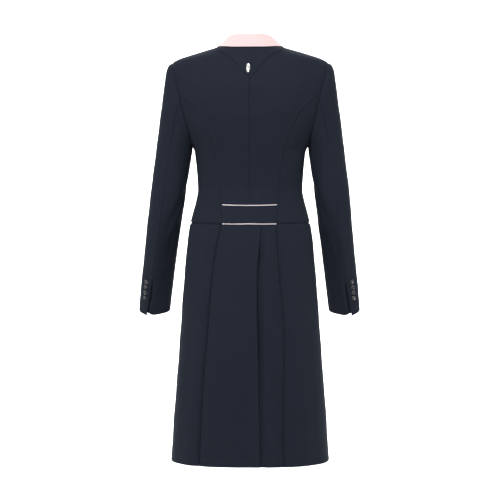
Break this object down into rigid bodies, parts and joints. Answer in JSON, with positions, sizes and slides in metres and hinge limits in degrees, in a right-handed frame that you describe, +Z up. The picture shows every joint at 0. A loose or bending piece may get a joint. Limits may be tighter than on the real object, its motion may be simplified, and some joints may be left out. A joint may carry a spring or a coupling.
{
  "type": "tailcoat",
  "caption": "Fitted riding tailcoat with a contrast collar, a piped half belt at the back, long lapped tails and cutaway front, filled out as worn.",
  "frame": {"origin": "middle of the neck base, level with the top of the shoulders, where the wearer carries the coat", "axes": "+Z up, -Y towards the back of the coat (the side the picture shows), +Y towards its front, -X towards the wearer's left"},
  "size_m": [0.5514, 0.2589, 1.0336],
  "materials": {
    "cloth_navy": "matte fine worsted, dark navy",
    "collar_pink": "matte pale pink cloth",
    "piping_pink": "satin pale pink piping",
    "button_dark": "polished dark resin",
    "stud_silver": "plain polished silver-coloured metal"
  },
  "bodies": {
    "root": {"back_centre_left": "cloth_navy", "back_centre_right": "cloth_navy", "back_side_left": "cloth_navy", "back_side_right": "cloth_navy", "back_yoke_v": "cloth_navy", "collar": "collar_pink", "cuff_button_left_1": "button_dark", "cuff_button_left_2": "button_dark", "cuff_button_left_3": "button_dark", "cuff_button_left_4": "button_dark", "cuff_button_right_1": "button_dark", "cuff_button_right_2": "button_dark", "cuff_button_right_3": "button_dark", "cuff_button_right_4": "button_dark", "front_button_1": "button_dark", "front_button_2": "button_dark", "front_button_3": "button_dark", "front_button_4": "button_dark", "front_left": "cloth_navy", "front_right": "cloth_navy", "half_belt": "cloth_navy", "lapel_left": "cloth_navy", "lapel_right": "cloth_navy", "neck_stud": "stud_silver", "piping_bottom": "piping_pink", "piping_top": "piping_pink", "tail_back_left": "cloth_navy", "tail_back_right": "cloth_navy", "tail_side_left": "cloth_navy", "tail_side_right": "cloth_navy", "under_sleeve_left": "cloth_navy", "under_sleeve_right": "cloth_navy", "upper_sleeve_left": "cloth_navy", "upper_sleeve_right": "cloth_navy"}
  },
  "joints": []
}
